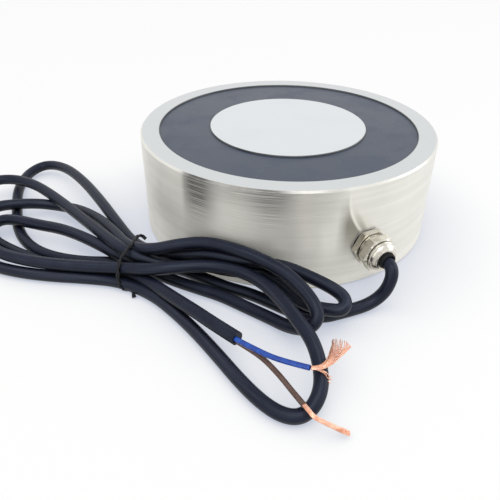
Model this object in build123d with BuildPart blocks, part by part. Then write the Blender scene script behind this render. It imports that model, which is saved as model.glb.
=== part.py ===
"""Holding electromagnet: a round steel pot with a coil potted in its ring groove,
a cable gland in the rim and a two-core cord that is folded into a tied hank.

Millimetres. The origin is the centre of the back face, +Z points out of the
holding face, and the gland points along -Y.
"""

from build123d import *
from math import cos, pi, radians, sin, tan
import os

# Pot: one turned piece of steel, with the centre pole left standing in the groove
pot_diameter = 150.0
pot_height = 50.0
rim_wall = 9.5
groove_width = 25.5
floor_thickness = 12.0
face_chamfer = 0.8
back_chamfer = 1.0
groove_chamfer = 0.3
potting_recess = 0.8

# Blind tapped hole in the back, drawn at its tap drill size
mount_drill = 14.0
mount_depth = 26.0
mount_countersink = 16.6
drill_point_angle = 118.0

# Coil on its bobbin
bobbin_clearance = 0.3
bobbin_tube_wall = 1.2
bobbin_flange_wall = 1.5
bobbin_flange_gap = 4.5
bobbin_lip = 3.2
coil_cover = 6.2
tape_wall = 0.3

# Cable gland, all on one axis through the rim
gland_height = 20.5
gland_thread = 12.0
gland_hex = 15.0
gland_hex_chamfer = 0.5
gasket_diameter = 14.4
gasket_thickness = 0.9
body_hex_length = 3.0
shank_clear_of_groove = 1.0
shank_chamfer = 0.3
shank_bore = 7.0
spigot_length = 4.4
spigot_bore = 9.2
nut_gap = 0.2
nut_hex_length = 6.6
nut_ring_length = 1.2
dome_diameter = 14.4
dome_mouth_diameter = 10.0
dome_length = 2.4
dome_round = 4.2
nut_mouth = 7.5
nut_lip = 1.2
thread_clearance = 0.05
claw_slots = 8
claw_slot_width = 0.8
claw_seat_depth = 1.0
claw_length = 7.4
claw_collar = 2.6
seal_diameter = 7.3
seal_nose = 1.7
seal_nose_round = 0.5

# Cord
cord_diameter = 5.6
cord_clearance = 0.05
core_diameter = 2.1
core_spread = 1.2
strand_diameter = 1.3

# Leads inside the groove
jacket_in_groove = 1.5
lead_wire_diameter = 1.0
splice_diameter = 3.4
splice_angle = 18.0
splice_span = 12.0

# Tie round the hank
tie_diameter = 1.1

pot_radius = pot_diameter / 2
groove_radius = pot_radius - rim_wall
pole_radius = groove_radius - groove_width
potting_top = pot_height - potting_recess
cord_radius = cord_diameter / 2

# Distances along the gland's axis, measured from the pot's centre line
gasket_face = pot_radius + gasket_thickness
body_face = gasket_face + body_hex_length
spigot_end = body_face + spigot_length
nut_start = body_face + nut_gap
nut_hex_end = nut_start + nut_hex_length
nut_ring_end = nut_hex_end + nut_ring_length
dome_end = nut_ring_end + dome_length
seal_end = dome_end + seal_nose
shank_end = groove_radius + shank_clear_of_groove
claw_start = body_face + claw_seat_depth
claw_end = claw_start + claw_length
jacket_start = groove_radius - jacket_in_groove

os.makedirs("parts", exist_ok=True)


def gland_plane(distance):
    """Plane across the gland's axis, facing outwards at a distance from the pot's axis."""
    return Plane(origin=(0, -distance, gland_height), x_dir=(1, 0, 0), z_dir=(0, -1, 0))


def corner_radii(points):
    """Largest arc that each corner's two runs allow."""
    corners = [Vector(*point) for point in points]
    radii = []
    for before, corner, after in zip(corners, corners[1:], corners[2:]):
        run_in = corner - before
        run_out = after - corner
        half_turn = radians(run_in.get_angle(run_out) / 2)
        radii.append(0.45 * min(run_in.length, run_out.length) / tan(half_turn))
    return radii


def save(piece, name):
    """Labels a finished piece and writes it."""
    piece.part.label = name
    export_step(piece.part, f"parts/{name}.step")


def tube_section(path, diameter):
    """Round section at the start of a path."""
    with BuildSketch(Plane(origin=path @ 0, z_dir=path % 0)) as section:
        Circle(diameter / 2)
    return section.sketch


def print_cord(name, piece, path, radii):
    """Prints a cord's length and radii, and its volume beside section times length."""
    expected = pi * cord_radius**2 * path.length
    print(name, "length", round(path.length, 1), "volume", round(piece.part.volume), "of", round(expected))
    print("  radii", [round(radius, 1) for radius in radii])


# Pot
with BuildPart() as pot:
    with BuildSketch():
        Circle(pot_radius)
    extrude(amount=pot_height)
    with BuildSketch(Plane.XY.offset(floor_thickness)):
        Circle(groove_radius)
        Circle(pole_radius, mode=Mode.SUBTRACT)
    extrude(amount=pot_height - floor_thickness, mode=Mode.SUBTRACT)
    face_edges = pot.edges().filter_by(GeomType.CIRCLE).group_by(Axis.Z)[-1].sort_by(SortBy.RADIUS)
    chamfer(face_edges[-1], face_chamfer)
    chamfer(face_edges[:-1], groove_chamfer)
    chamfer(pot.edges().filter_by(GeomType.CIRCLE).group_by(Axis.Z)[0], back_chamfer)
    # tapped hole with its drill point and countersink, turned about the pot's axis
    with BuildSketch(Plane.XZ):
        with BuildLine():
            drill_point = mount_drill / 2 / tan(radians(drill_point_angle / 2))
            countersink_depth = (mount_countersink - mount_drill) / 2
            Polyline(
                (0, 0),
                (mount_countersink / 2, 0),
                (mount_drill / 2, countersink_depth),
                (mount_drill / 2, mount_depth),
                (0, mount_depth + drill_point),
                close=True,
            )
        make_face()
    revolve(axis=Axis.Z, mode=Mode.SUBTRACT)
    # gland hole through the rim
    with BuildSketch(gland_plane(pot_radius)):
        Circle(gland_thread / 2)
    extrude(amount=-2 * rim_wall, mode=Mode.SUBTRACT)
save(pot, "pot")

# Bobbin: a tube between two flanges
bobbin_bore = pole_radius + bobbin_clearance
bobbin_hub = bobbin_bore + bobbin_tube_wall
flange_radius = groove_radius - bobbin_flange_gap
bobbin_bottom = floor_thickness
bobbin_height = potting_top - coil_cover - bobbin_bottom
bobbin_top = bobbin_bottom + bobbin_height
with BuildPart() as coil_bobbin:
    with BuildSketch(Plane.XY.offset(bobbin_bottom)):
        Circle(bobbin_hub)
        Circle(bobbin_bore, mode=Mode.SUBTRACT)
    extrude(amount=bobbin_height)
    for flange_base in (bobbin_bottom, bobbin_top - bobbin_flange_wall):
        with BuildSketch(Plane.XY.offset(flange_base)):
            Circle(flange_radius)
            Circle(bobbin_bore, mode=Mode.SUBTRACT)
        extrude(amount=bobbin_flange_wall)
save(coil_bobbin, "coil_bobbin")

winding_bottom = bobbin_bottom + bobbin_flange_wall
winding_height = bobbin_height - 2 * bobbin_flange_wall
tape_radius = flange_radius - bobbin_lip
winding_radius = tape_radius - tape_wall
with BuildPart() as copper_winding:
    with BuildSketch(Plane.XY.offset(winding_bottom)):
        Circle(winding_radius)
        Circle(bobbin_hub, mode=Mode.SUBTRACT)
    extrude(amount=winding_height)
save(copper_winding, "copper_winding")

with BuildPart() as winding_tape:
    with BuildSketch(Plane.XY.offset(winding_bottom)):
        Circle(tape_radius)
        Circle(winding_radius, mode=Mode.SUBTRACT)
    extrude(amount=winding_height)
save(winding_tape, "winding_tape")

# Leads inside the groove: each core bends along the gap beside the winding into a
# splice sleeve, and a thin lead wire goes on from the sleeve to the winding
gap_radius = (tape_radius + groove_radius) / 2
inner_pieces = []


def beside_winding(side, angle, radius):
    """Point at an angle from the gland on either side, at the gland's height."""
    turn = radians(angle)
    return (side * radius * sin(turn), -radius * cos(turn), gland_height)


for side, colour in ((-1, "blue"), (1, "brown")):
    core_points = [
        (side * core_spread, -jacket_start, gland_height),
        (side * core_spread, -(jacket_start - core_diameter), gland_height),
        beside_winding(side, splice_angle / 2, gap_radius),
        beside_winding(side, splice_angle + splice_span / 3, gap_radius),
    ]
    core_path = FilletPolyline(*core_points, radius=corner_radii(core_points))
    with BuildPart() as inner_core:
        sweep(sections=tube_section(core_path, core_diameter), path=core_path)
    save(inner_core, f"inner_core_{colour}")

    wire_points = [
        beside_winding(side, splice_angle + splice_span * 2 / 3, gap_radius),
        beside_winding(side, splice_angle + splice_span * 4 / 3, gap_radius),
        beside_winding(side, splice_angle + splice_span * 2, winding_radius),
    ]
    wire_path = FilletPolyline(*wire_points, radius=corner_radii(wire_points))
    with BuildPart() as winding_lead:
        sweep(sections=tube_section(wire_path, lead_wire_diameter), path=wire_path)
        with BuildSketch(Plane.XY.offset(winding_bottom)):
            Circle(tape_radius)
        extrude(amount=winding_height, mode=Mode.SUBTRACT)
    save(winding_lead, f"winding_lead_{colour}")

    sleeve_start = Vector(*beside_winding(side, splice_angle, gap_radius))
    sleeve_run = Vector(*beside_winding(side, splice_angle + splice_span, gap_radius)) - sleeve_start
    with BuildPart() as splice_sleeve:
        with BuildSketch(Plane(origin=sleeve_start, z_dir=sleeve_run)):
            Circle(splice_diameter / 2)
        extrude(amount=sleeve_run.length)
        add(inner_core.part, mode=Mode.SUBTRACT)
        add(winding_lead.part, mode=Mode.SUBTRACT)
    save(splice_sleeve, f"splice_sleeve_{colour}")
    inner_pieces += [inner_core, splice_sleeve, winding_lead]

# Gland: flat gasket that is seated on the round rim
with BuildPart() as gland_gasket:
    with BuildSketch(gland_plane(pot_radius - gasket_thickness)):
        Circle(gasket_diameter / 2)
        Circle(gland_thread / 2, mode=Mode.SUBTRACT)
    extrude(amount=2 * gasket_thickness)
    with BuildSketch():
        Circle(pot_radius)
    extrude(amount=pot_height, mode=Mode.SUBTRACT)
save(gland_gasket, "gland_gasket")


gland_axis = Axis((0, 0, gland_height), (0, -1, 0))


def turned_hexagon(start, length):
    """Hexagon between two distances, flats up and down, its corners turned off at both ends."""
    corner_reach = gland_hex / 3**0.5
    turned_down = corner_reach - gland_hex_chamfer
    with BuildPart() as blank:
        with BuildSketch(gland_plane(start)):
            RegularPolygon(gland_hex / 2, 6, major_radius=False)
        extrude(amount=length)
        with BuildSketch(Plane.YZ):
            with BuildLine():
                Polyline(
                    (-start, gland_height),
                    (-start, gland_height + turned_down),
                    (-start - gland_hex_chamfer / 2, gland_height + corner_reach),
                    (-start - length + gland_hex_chamfer / 2, gland_height + corner_reach),
                    (-start - length, gland_height + turned_down),
                    (-start - length, gland_height),
                    close=True,
                )
            make_face()
        revolve(axis=gland_axis, mode=Mode.INTERSECT)
    return blank.part


body_hexagon = turned_hexagon(gasket_face, body_hex_length)
nut_hexagon = turned_hexagon(nut_start, nut_hex_length)

with BuildPart() as gland_body:
    add(body_hexagon)
    with BuildSketch(gland_plane(shank_end)):
        Circle(gland_thread / 2)
    extrude(amount=spigot_end - shank_end)
    with BuildSketch(gland_plane(shank_end)):
        Circle(shank_bore / 2)
    extrude(amount=spigot_end - shank_end, mode=Mode.SUBTRACT)
    with BuildSketch(gland_plane(claw_start)):
        Circle(spigot_bore / 2)
    extrude(amount=spigot_end - claw_start, mode=Mode.SUBTRACT)
    chamfer(gland_body.edges().filter_by(GeomType.CIRCLE).group_by(Axis.Y)[0], shank_chamfer)
save(gland_body, "gland_body")

# Seal: a rubber sleeve in the claw, its rounded nose outside the nut
with BuildPart() as gland_seal:
    with BuildSketch(gland_plane(claw_start)):
        Circle(seal_diameter / 2)
    extrude(amount=seal_end - claw_start)
    fillet(gland_seal.edges().group_by(Axis.Y)[0], seal_nose_round)
    with BuildSketch(gland_plane(claw_start)):
        Circle(cord_radius + cord_clearance)
    extrude(amount=seal_end - claw_start, mode=Mode.SUBTRACT)
save(gland_seal, "gland_seal")

# Claw: a nylon ring with slotted fingers that the nut's cone closes on the seal
claw_outer = spigot_bore / 2 - thread_clearance
claw_tip = (seal_diameter / 2 + claw_outer) / 2
with BuildPart() as gland_claw:
    with BuildSketch(Plane.YZ):
        with BuildLine():
            Polyline(
                (-claw_start, gland_height + seal_diameter / 2),
                (-claw_start, gland_height + claw_outer),
                (-spigot_end, gland_height + claw_outer),
                (-claw_end, gland_height + claw_tip),
                (-claw_end, gland_height + seal_diameter / 2),
                close=True,
            )
        make_face()
    revolve(axis=gland_axis)
    with BuildSketch(gland_plane(claw_start + claw_collar)):
        with PolarLocations(claw_outer, claw_slots):
            Rectangle(2 * claw_outer, claw_slot_width)
        Circle(seal_diameter / 2, mode=Mode.SUBTRACT)
    extrude(amount=claw_length, mode=Mode.SUBTRACT)
save(gland_claw, "gland_claw")

# Dome nut: hexagon, turned ring and domed end, hollow for the spigot and the claw
nut_bore = gland_thread / 2 + thread_clearance
with BuildPart() as gland_nut:
    add(nut_hexagon)
    with BuildSketch(Plane.YZ):
        with BuildLine():
            dome_top = gland_height + dome_diameter / 2
            mouth_top = gland_height + dome_mouth_diameter / 2
            Polyline(
                (-dome_end, mouth_top),
                (-dome_end, gland_height),
                (-nut_hex_end, gland_height),
                (-nut_hex_end, dome_top),
                (-nut_ring_end, dome_top),
            )
            RadiusArc((-nut_ring_end, dome_top), (-dome_end, mouth_top), -dome_round)
        make_face()
    revolve(axis=gland_axis)
    with BuildSketch(Plane.YZ):
        with BuildLine():
            mouth_radius = nut_mouth / 2
            Polyline(
                (-nut_start, gland_height),
                (-nut_start, gland_height + nut_bore),
                (-(spigot_end + nut_gap), gland_height + nut_bore),
                (-(spigot_end + nut_gap), gland_height + claw_outer + thread_clearance),
                (-claw_end, gland_height + claw_tip + thread_clearance),
                (-(dome_end - nut_lip), gland_height + mouth_radius),
                (-dome_end, gland_height + mouth_radius),
                (-dome_end, gland_height),
                close=True,
            )
        make_face()
    revolve(axis=gland_axis, mode=Mode.SUBTRACT)
save(gland_nut, "gland_nut")

# Hank: cross-sections along its long axis, from the left bights to the right
# folds. Each row gives the place along the axis, the far and near side, and the
# height at the far and near side.
hank_direction = (0.866, -0.5, 0)
hank_stations = [
    (-177, -3, -22, 10.5, 10.5),
    (-168, 12, -46, 11.6, 11.6),
    (-157, 34, -60, 11.6, 11.6),
    (-146, 38, -70, 11.6, 11.6),
    (-132, 29, -77, 11.6, 11.6),
    (-114, 8, -80, 12.4, 11.6),
    (-98, -12, -82, 12.8, 12.0),
    (-82, -38, -83, 14.0, 13.0),
    (-70, -58, -84.5, 16.6, 15.0),
    (-58, -61, -85, 19.6, 16.4),
    (-46, -67.5, -83.5, 22.6, 16.6),
    (-22, -73.4, -94, 25.3, 14.0),
    (0, -77.6, -104.5, 23.4, 13.6),
    (14, -82, -111, 19.4, 13.4),
    (22, -85.5, -107, 16.4, 12.4),
    (30.5, -89.5, -98.5, 13.4, 12.4),
]
section_round = 2.6


def hank_plane(along):
    """Plane across the hank, its x towards the pot's side and its y upwards."""
    return Plane(
        origin=(hank_direction[0] * along, hank_direction[1] * along, 0),
        x_dir=(-hank_direction[1], hank_direction[0], 0),
        z_dir=hank_direction,
    )


# Wire tie: a ring round the hank's waist and the twist that closes it
tie_along = -70
tie_far = -57.4
tie_near = -85.4
tie_height = 17.2
tie_plane = hank_plane(tie_along)
twist_points = [
    tie_plane.from_local_coords((tie_near - tie_diameter / 2, tie_height / 2, 0)),
    tie_plane.from_local_coords((tie_near - 2 * tie_diameter, tie_height / 4, 1)),
    tie_plane.from_local_coords((tie_near - 5 * tie_diameter, tie_diameter, 4)),
]
twist_path = FilletPolyline(*twist_points, radius=corner_radii(twist_points))
with BuildPart() as cord_tie:
    with BuildSketch(tie_plane.offset(-tie_diameter / 2)):
        with Locations(((tie_far + tie_near) / 2, tie_diameter + tie_height / 2)):
            RectangleRounded(
                tie_far - tie_near + 2 * tie_diameter, tie_height + 2 * tie_diameter, section_round + tie_diameter
            )
            RectangleRounded(tie_far - tie_near, tie_height, section_round, mode=Mode.SUBTRACT)
    extrude(amount=tie_diameter)
    sweep(sections=tube_section(twist_path, tie_diameter), path=twist_path)
save(cord_tie, "cord_tie")

with BuildPart() as cord_hank:
    for along, far, near, far_height, near_height in hank_stations:
        with BuildSketch(hank_plane(along)) as hank_section:
            with BuildLine():
                Polyline((far, 0), (far, far_height), (near, near_height), (near, 0), close=True)
            make_face()
            fillet(hank_section.vertices(), section_round)
    loft(ruled=True)
    add(cord_tie.part, mode=Mode.SUBTRACT)
save(cord_hank, "cord_hank")

# Cord from inside the groove, out of the gland and down to the hank on the floor
lead_points = [
    (0, -jacket_start, gland_height),
    (0, -92, gland_height),
    (0, -95.9, 17.2),
    (-0.8, -96.4, 12.2),
    (-2.4, -95.9, 8.2),
    (-5.8, -95.3, 5),
    (-11, -95.1, 3.2),
    (-18, -94.7, cord_radius),
    (-26, -92.6, cord_radius),
]
lead_radii = corner_radii(lead_points)
lead_path = FilletPolyline(*lead_points, radius=lead_radii)
with BuildPart() as cord_lead:
    sweep(sections=tube_section(lead_path, cord_diameter), path=lead_path)
print_cord("cord_lead", cord_lead, lead_path, lead_radii)
with BuildPart() as trimmed_lead:
    add(cord_lead.part)
    add(cord_hank.part, mode=Mode.SUBTRACT)
save(trimmed_lead, "cord_lead")

# Large loop that runs forwards from the right folds and back to the tie
loop_points = [
    (-50, -96, 15.6),
    (-49.5, -104, 14.6),
    (-49.8, -112.5, 12.6),
    (-51.6, -121, 9.8),
    (-55.2, -128.4, 7),
    (-61, -133, 4.6),
    (-67.5, -133.6, 3.2),
    (-72.8, -129, cord_radius),
    (-76.2, -120.5, cord_radius),
    (-78.9, -107, cord_radius),
    (-81.8, -87.5, cord_radius),
    (-87.2, -63, cord_radius),
    (-99, -38, cord_radius),
]
loop_radii = corner_radii(loop_points)
loop_path = FilletPolyline(*loop_points, radius=loop_radii)
with BuildPart() as cord_front_loop:
    sweep(sections=tube_section(loop_path, cord_diameter), path=loop_path)
print_cord("cord_front_loop", cord_front_loop, loop_path, loop_radii)
with BuildPart() as trimmed_loop:
    add(cord_front_loop.part)
    add(cord_hank.part, mode=Mode.SUBTRACT)
save(trimmed_loop, "cord_front_loop")

# Free end: from under the tie to the cut end of the jacket
end_points = [
    (-97, -30, 4.4),
    (-91.2, -42, 6.2),
    (-86.6, -57.6, 8.4),
    (-82, -73.6, 10),
    (-77.9, -86.4, 10.7),
    (-73.5, -97, 11),
]
end_radii = corner_radii(end_points)
end_path = FilletPolyline(*end_points, radius=end_radii)
with BuildPart() as cord_free_end:
    sweep(sections=tube_section(end_path, cord_diameter), path=end_path)
print_cord("cord_free_end", cord_free_end, end_path, end_radii)
with BuildPart() as trimmed_end:
    add(cord_free_end.part)
    add(cord_hank.part, mode=Mode.SUBTRACT)
    add(trimmed_loop.part, mode=Mode.SUBTRACT)
save(trimmed_end, "cord_free_end")

# Two stripped cores with their bare, fanned strands
jacket_end = end_path @ 1
core_routes = {
    "blue": [
        (-71, -104.2, 11.8),
        (-66.2, -113.4, 12.4),
        (-58, -123.9, 13.6),
    ],
    "brown": [
        (-69.5, -105.6, 8.8),
        (-66.9, -119, 8),
        (-65.8, -133.9, 8.8),
    ],
}
strand_routes = {
    "blue": [(-53.6, -125.4, 13.4), (-47.4, -122.6, 11.4), (-39, -116.8, 9.2)],
    "brown": [(-65.6, -138.4, 8.6), (-62, -141.6, 5.8), (-55.4, -145.4, 1.6)],
}
for colour, side in (("blue", 1), ("brown", -1)):
    core_start = jacket_end + Vector(0, 0, side * core_spread)
    core_points = [core_start] + [Vector(*point) for point in core_routes[colour]]
    core_path = FilletPolyline(*core_points, radius=corner_radii(core_points))
    with BuildPart() as core:
        sweep(sections=tube_section(core_path, core_diameter), path=core_path)
        add(trimmed_end.part, mode=Mode.SUBTRACT)
    save(core, f"core_{colour}")
    strand_points = [core_path @ 1] + [Vector(*point) for point in strand_routes[colour]]
    strand_path = FilletPolyline(*strand_points, radius=corner_radii(strand_points))
    with BuildPart() as strands:
        sweep(sections=tube_section(strand_path, strand_diameter), path=strand_path)
        add(core.part, mode=Mode.SUBTRACT)
    save(strands, f"strands_{colour}")

# Potting: the rest of the groove, round everything that is set in it
with BuildPart() as potting:
    with BuildSketch(Plane.XY.offset(floor_thickness)):
        Circle(groove_radius)
        Circle(pole_radius, mode=Mode.SUBTRACT)
    extrude(amount=potting_top - floor_thickness)
    for piece in [coil_bobbin, copper_winding, winding_tape, gland_body] + inner_pieces:
        add(piece.part, mode=Mode.SUBTRACT)
    add(cord_lead.part, mode=Mode.SUBTRACT)
save(potting, "potting")
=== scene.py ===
import math

import bpy
from mathutils import Matrix, Vector


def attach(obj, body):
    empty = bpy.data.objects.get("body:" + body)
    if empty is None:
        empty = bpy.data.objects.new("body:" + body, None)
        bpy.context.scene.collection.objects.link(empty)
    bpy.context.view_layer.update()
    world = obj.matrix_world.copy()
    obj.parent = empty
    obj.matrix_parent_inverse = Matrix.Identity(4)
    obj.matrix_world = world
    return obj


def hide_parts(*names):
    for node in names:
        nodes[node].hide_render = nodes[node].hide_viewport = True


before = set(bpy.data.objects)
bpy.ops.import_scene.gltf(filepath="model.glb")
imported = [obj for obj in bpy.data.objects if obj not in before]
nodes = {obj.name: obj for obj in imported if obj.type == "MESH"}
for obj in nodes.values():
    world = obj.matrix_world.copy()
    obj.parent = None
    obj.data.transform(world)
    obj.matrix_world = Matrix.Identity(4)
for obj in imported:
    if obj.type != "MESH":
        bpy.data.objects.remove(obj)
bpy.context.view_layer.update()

# sizes in metres
JACKET_DIAMETER = 0.0056
CORE_DIAMETER = 0.0021
STRAND_RADIUS = 0.00016
TIE_WIRE_RADIUS = 0.00055
POT_RADIUS = 0.075
GLAND_HEIGHT = 0.0205


def fill(tree, socket, value):
    """Links another node's output to the socket, or sets the socket's own value."""
    if isinstance(value, bpy.types.NodeSocket):
        tree.links.new(value, socket)
    else:
        socket.default_value = value


def put(tree, kind, inputs=None, **settings):
    """Adds a node with its properties, and fills its inputs with values or other nodes' outputs."""
    node = tree.nodes.new(kind)
    for key, value in settings.items():
        setattr(node, key, value)
    for key, value in (inputs or {}).items():
        fill(tree, node.inputs[key], value)
    return node


def take(tree, kind, inputs=None, **settings):
    """Adds a node as put does, and gives its first output."""
    return put(tree, kind, inputs, **settings).outputs[0]


def maths(tree, operation, first, second=0.0, clamp=False):
    inputs = {0: first, 1: second}
    return take(tree, "ShaderNodeMath", inputs, operation=operation, use_clamp=clamp)


def times(tree, product, *factors, clamp=False):
    for factor in factors:
        product = maths(tree, "MULTIPLY", product, factor, clamp)
    return product


def plus(tree, first, second, clamp=False):
    return maths(tree, "ADD", first, second, clamp)


def minus(tree, first, second):
    return maths(tree, "SUBTRACT", first, second)


def vector_maths(tree, operation, inputs):
    return put(tree, "ShaderNodeVectorMath", inputs, operation=operation).outputs


def split(tree, vector):
    """The vector's X, Y and Z."""
    return put(tree, "ShaderNodeSeparateXYZ", {0: vector}).outputs


def joined(tree, x, y):
    return take(tree, "ShaderNodeCombineXYZ", {"X": x, "Y": y})


def radius_of(tree, parts):
    """How far a split position lies from the z axis."""
    return vector_maths(tree, "LENGTH", {0: joined(tree, parts["X"], parts["Y"])})["Value"]


def angle_of(tree, parts):
    """The angle of a split position round the z axis."""
    return maths(tree, "ARCTAN2", parts["Y"], parts["X"])


def scale_range(tree, value, low, high, start=0.0, end=1.0, curve="LINEAR"):
    """Low where the value is at the start, high where it is at the end, and never beyond them."""
    inputs = {"Value": value, "From Min": start, "From Max": end, "To Min": low, "To Max": high}
    return take(tree, "ShaderNodeMapRange", inputs, interpolation_type=curve)


def degrees_range(tree, angle, low, high, start, end):
    """As scale_range, for an angle, with its start and end in degrees."""
    return scale_range(tree, angle, low, high, math.radians(start), math.radians(end))


def noise(tree, position, scale, detail, roughness=0.5, distortion=0.0):
    inputs = {"Vector": position, "Scale": scale, "Detail": detail}
    inputs.update({"Roughness": roughness, "Distortion": distortion})
    return take(tree, "ShaderNodeTexNoise", inputs)


def group(kind, name, inputs, outputs):
    """A node group, what it is given and what it returns. Each input is (name, type, value)."""
    tree = bpy.data.node_groups.new(name, kind)
    for label, sort, value in inputs:
        socket = tree.interface.new_socket(name=label, in_out="INPUT", socket_type=sort)
        if value is not None:
            socket.default_value = value
    for label, sort in outputs:
        tree.interface.new_socket(name=label, in_out="OUTPUT", socket_type=sort)
    return tree, tree.nodes.new("NodeGroupInput").outputs, tree.nodes.new("NodeGroupOutput").inputs


def turning_marks():
    """Fine tool marks round the z axis: rings on a face and level lines on a wall."""
    tree, given, result = group(
        "ShaderNodeTree",
        "Turning marks",
        [
            ("Position", "NodeSocketVector", None),
            ("Lines per metre", "NodeSocketFloat", 1500.0),
            ("Breaks", "NodeSocketFloat", 3.0),
        ],
        [("Height", "NodeSocketFloat"), ("Bands", "NodeSocketFloat")],
    )
    parts = split(tree, given["Position"])
    angle = angle_of(tree, parts)
    # across the marks means outwards on a face and upwards on a wall
    across = plus(tree, radius_of(tree, parts), times(tree, parts["Z"], 1.37))
    lines = given["Lines per metre"]
    fine = joined(tree, times(tree, angle, given["Breaks"]), times(tree, across, lines))
    broad = joined(tree, times(tree, angle, 0.6), times(tree, across, times(tree, lines, 0.16)))
    tree.links.new(noise(tree, fine, 1.0, 3.0, 0.6), result["Height"])
    tree.links.new(noise(tree, broad, 1.0, 2.0), result["Bands"])
    return tree


def smudges():
    """Soft cloudy patches, as of handling, dust or uneven plating."""
    tree, given, result = group(
        "ShaderNodeTree",
        "Smudges",
        [
            ("Position", "NodeSocketVector", None),
            ("Patches per metre", "NodeSocketFloat", 40.0),
            ("From", "NodeSocketFloat", 0.4),
            ("To", "NodeSocketFloat", 0.7),
        ],
        [("Mask", "NodeSocketFloat")],
    )
    cloud = noise(tree, given["Position"], given["Patches per metre"], 5.0, 0.55, 0.4)
    mask = scale_range(tree, cloud, 0.0, 1.0, given["From"], given["To"], "SMOOTHSTEP")
    tree.links.new(mask, result["Mask"])
    return tree


def fine_grain():
    """The small unevenness of a moulded, cast or drawn surface."""
    tree, given, result = group(
        "ShaderNodeTree",
        "Fine grain",
        [
            ("Position", "NodeSocketVector", None),
            ("Grains per metre", "NodeSocketFloat", 3000.0),
            ("Waves per metre", "NodeSocketFloat", 250.0),
        ],
        [("Height", "NodeSocketFloat"), ("Speckle", "NodeSocketFloat")],
    )
    position, scale = given["Position"], given["Grains per metre"]
    grains = noise(tree, position, scale, 2.0)
    waves = noise(tree, position, given["Waves per metre"], 2.0)
    cells = put(tree, "ShaderNodeTexVoronoi", {"Vector": position, "Scale": scale}).outputs
    speckle = scale_range(tree, cells["Distance"], 0.0, 1.0, 0.14, 0.05)
    height = plus(tree, times(tree, grains, 0.35), times(tree, waves, 0.65))
    tree.links.new(height, result["Height"])
    tree.links.new(speckle, result["Speckle"])
    return tree


def edge_wear_and_glint():
    """A mask along the sharp edges, broken up so that it looks handled: edge wear with a painted
    glint.
    """
    tree, given, result = group(
        "ShaderNodeTree",
        "Edge wear and glint",
        [
            ("Position", "NodeSocketVector", None),
            ("Width", "NodeSocketFloat", 0.0006),
            ("Patches per metre", "NodeSocketFloat", 300.0),
        ],
        [("Mask", "NodeSocketFloat")],
    )
    rounded = take(tree, "ShaderNodeBevel", {"Radius": given["Width"]}, samples=6)
    surface = put(tree, "ShaderNodeNewGeometry").outputs["Normal"]
    facing = vector_maths(tree, "DOT_PRODUCT", {0: rounded, 1: surface})["Value"]
    bent = scale_range(tree, facing, 0.0, 1.0, 0.995, 0.88)
    patches = noise(tree, given["Position"], given["Patches per metre"], 3.0)
    broken = scale_range(tree, patches, 0.0, 1.0, 0.3, 0.6)
    tree.links.new(times(tree, bent, broken, clamp=True), result["Mask"])
    return tree


def drawn_streaks():
    """Streaks that run along an extruded jacket or a drawn wire, from its own UV map."""
    tree, given, result = group(
        "ShaderNodeTree",
        "Drawn streaks",
        [
            ("Length and girth", "NodeSocketVector", None),
            ("Streaks round", "NodeSocketFloat", 30.0),
            ("Breaks along", "NodeSocketFloat", 60.0),
        ],
        [("Height", "NodeSocketFloat"), ("Scuffs", "NodeSocketFloat")],
    )
    parts = split(tree, given["Length and girth"])
    lines = joined(
        tree,
        times(tree, parts["X"], given["Breaks along"]),
        times(tree, parts["Y"], given["Streaks round"]),
    )
    scuffs = scale_range(tree, noise(tree, lines, 0.33, 4.0, 0.65), 0.0, 1.0, 0.5, 0.72)
    tree.links.new(noise(tree, lines, 1.0, 3.0, 0.6), result["Height"])
    tree.links.new(scuffs, result["Scuffs"])
    return tree


def painted_reflection_patch():
    """A soft patch of painted dark reflection at one angle round the pot and between two heights.
    """
    tree, given, result = group(
        "ShaderNodeTree",
        "Painted reflection patch",
        [
            ("Position", "NodeSocketVector", None),
            ("Angle", "NodeSocketFloat", 0.0),
            ("Half width", "NodeSocketFloat", 0.15),
            ("Fades from height", "NodeSocketFloat", 0.02),
            ("Full from height", "NodeSocketFloat", 0.035),
            ("Raggedness", "NodeSocketFloat", 0.0),
        ],
        [("Mask", "NodeSocketFloat")],
    )
    parts = split(tree, given["Position"])
    half_width = given["Half width"]
    away = maths(tree, "ABSOLUTE", minus(tree, angle_of(tree, parts), given["Angle"]))
    ragged = plus(tree, away, times(tree, minus(tree, given["Raggedness"], 0.5), half_width))
    share = maths(tree, "DIVIDE", ragged, half_width)
    fades, full = given["Fades from height"], given["Full from height"]
    across = scale_range(tree, share, 0.0, 1.0, 1.0, 0.15, "SMOOTHSTEP")
    upwards = scale_range(tree, parts["Z"], 0.0, 1.0, fades, full, "SMOOTHSTEP")
    tree.links.new(times(tree, across, upwards, clamp=True), result["Mask"])
    return tree


TURNING_MARKS = turning_marks()
PAINTED_REFLECTION_PATCH = painted_reflection_patch()
SMUDGES = smudges()
FINE_GRAIN = fine_grain()
EDGE_WEAR_AND_GLINT = edge_wear_and_glint()
DRAWN_STREAKS = drawn_streaks()


def use(tree, shared, **inputs):
    """What a shared group returns. Underscores in the names given stand for spaces."""
    node = put(tree, "ShaderNodeGroup", node_tree=shared)
    for key, value in inputs.items():
        fill(tree, node.inputs[key.replace("_", " ")], value)
    return node.outputs


def marked(tree, here, lines, breaks):
    """Turning marks with so many lines per metre and breaks per radian."""
    return use(tree, TURNING_MARKS, Position=here, Lines_per_metre=lines, Breaks=breaks)


def grained(tree, here, grains, waves):
    """Fine grain with so many grains and waves per metre."""
    return use(tree, FINE_GRAIN, Position=here, Grains_per_metre=grains, Waves_per_metre=waves)


def streaked(tree, place, streaks, breaks):
    """Streaks along a cord: so many round it, with so many breaks along it."""
    uv = place["UV"]
    return use(tree, DRAWN_STREAKS, Length_and_girth=uv, Streaks_round=streaks, Breaks_along=breaks)


def smudged(tree, here, patches, start, end):
    """A mask of cloudy patches, so many per metre: none below the start, full above the end."""
    return use(tree, SMUDGES, Position=here, Patches_per_metre=patches, From=start, To=end)["Mask"]


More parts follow.
